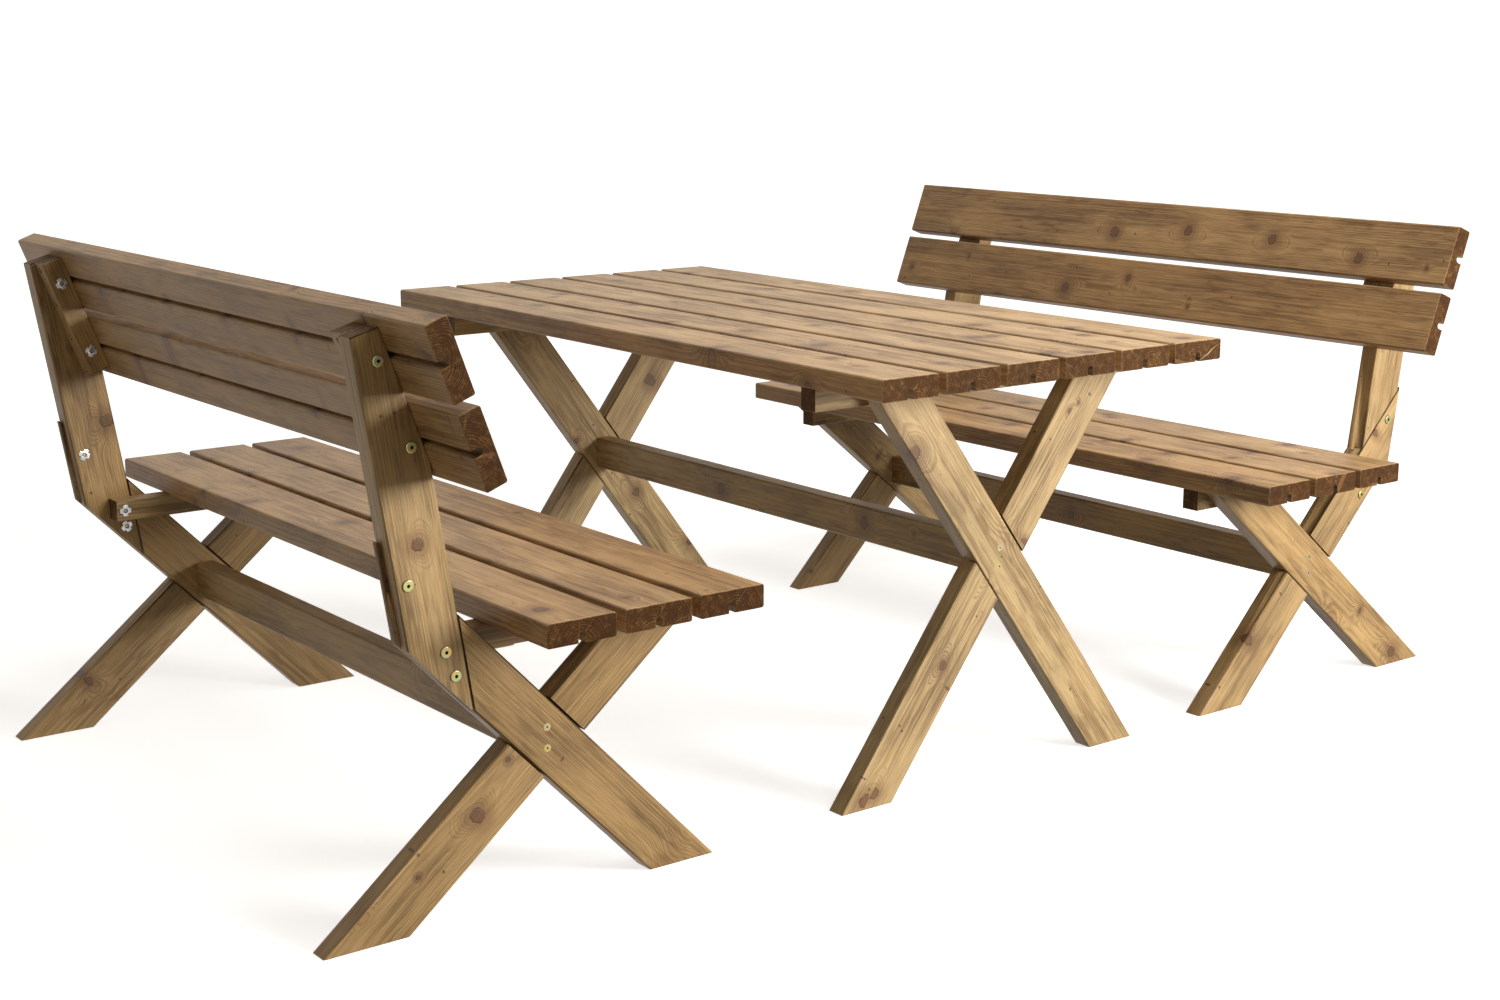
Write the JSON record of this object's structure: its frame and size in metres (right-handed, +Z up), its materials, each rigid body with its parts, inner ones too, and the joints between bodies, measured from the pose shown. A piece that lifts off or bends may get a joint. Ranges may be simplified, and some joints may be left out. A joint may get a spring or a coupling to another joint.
{
  "type": "picnic table",
  "caption": "Timber picnic set: a slatted table on X-shaped legs with a stretcher, and loose benches with sloping slatted backrests along both long sides.",
  "frame": {"origin": "on the ground, at the middle of the outline of the whole set", "axes": "+Z up; X along the boards; Y across the set, from the left bench at -Y through the table to the right bench at +Y"},
  "size_m": [1.5, 2.466, 0.8945],
  "materials": {
    "board_timber": "brown-stained softwood, planed",
    "frame_timber": "brown-stained softwood, planed",
    "bolt_yellow_zinc": "yellow zinc-plated steel",
    "screw_yellow_zinc": "yellow zinc-plated steel",
    "tee_nut_zinc": "bright zinc-plated steel"
  },
  "bodies": {
    "table": {"table_batten_left": "frame_timber", "table_batten_right": "frame_timber", "table_board_1": "board_timber", "table_board_2": "board_timber", "table_board_3": "board_timber", "table_board_4": "board_timber", "table_board_5": "board_timber", "table_board_6": "board_timber", "table_board_screws": "screw_yellow_zinc", "table_bolts": "bolt_yellow_zinc", "table_frame_screws": "screw_yellow_zinc", "table_leg_left_a": "frame_timber", "table_leg_left_b": "frame_timber", "table_leg_right_a": "frame_timber", "table_leg_right_b": "frame_timber", "table_stretcher": "frame_timber", "table_tee_nuts": "tee_nut_zinc"},
    "left_bench": {"left_bench_back_board_1": "board_timber", "left_bench_back_board_2": "board_timber", "left_bench_back_leg_left": "frame_timber", "left_bench_back_leg_right": "frame_timber", "left_bench_back_screws": "screw_yellow_zinc", "left_bench_bearer_left": "frame_timber", "left_bench_bearer_right": "frame_timber", "left_bench_bolts": "bolt_yellow_zinc", "left_bench_cleat_left": "frame_timber", "left_bench_cleat_right": "frame_timber", "left_bench_frame_screws": "screw_yellow_zinc", "left_bench_seat_board_1": "board_timber", "left_bench_seat_board_2": "board_timber", "left_bench_seat_board_3": "board_timber", "left_bench_seat_leg_left": "frame_timber", "left_bench_seat_leg_right": "frame_timber", "left_bench_seat_screws": "screw_yellow_zinc", "left_bench_stretcher": "frame_timber", "left_bench_tee_nuts": "tee_nut_zinc", "left_bench_upright_left": "frame_timber", "left_bench_upright_right": "frame_timber"},
    "right_bench": {"right_bench_back_board_1": "board_timber", "right_bench_back_board_2": "board_timber", "right_bench_back_leg_left": "frame_timber", "right_bench_back_leg_right": "frame_timber", "right_bench_back_screws": "screw_yellow_zinc", "right_bench_bearer_left": "frame_timber", "right_bench_bearer_right": "frame_timber", "right_bench_bolts": "bolt_yellow_zinc", "right_bench_cleat_left": "frame_timber", "right_bench_cleat_right": "frame_timber", "right_bench_frame_screws": "screw_yellow_zinc", "right_bench_seat_board_1": "board_timber", "right_bench_seat_board_2": "board_timber", "right_bench_seat_board_3": "board_timber", "right_bench_seat_leg_left": "frame_timber", "right_bench_seat_leg_right": "frame_timber", "right_bench_seat_screws": "screw_yellow_zinc", "right_bench_stretcher": "frame_timber", "right_bench_tee_nuts": "tee_nut_zinc", "right_bench_upright_left": "frame_timber", "right_bench_upright_right": "frame_timber"}
  },
  "joints": [
    {"name": "left_bench_slide", "type": "slide", "parent": "table", "child": "left_bench", "axis": [0, 1, 0], "range_m": [-0.3, 0.25]},
    {"name": "right_bench_slide", "type": "slide", "parent": "table", "child": "right_bench", "axis": [0, -1, 0], "range_m": [-0.3, 0.175]}
  ]
}
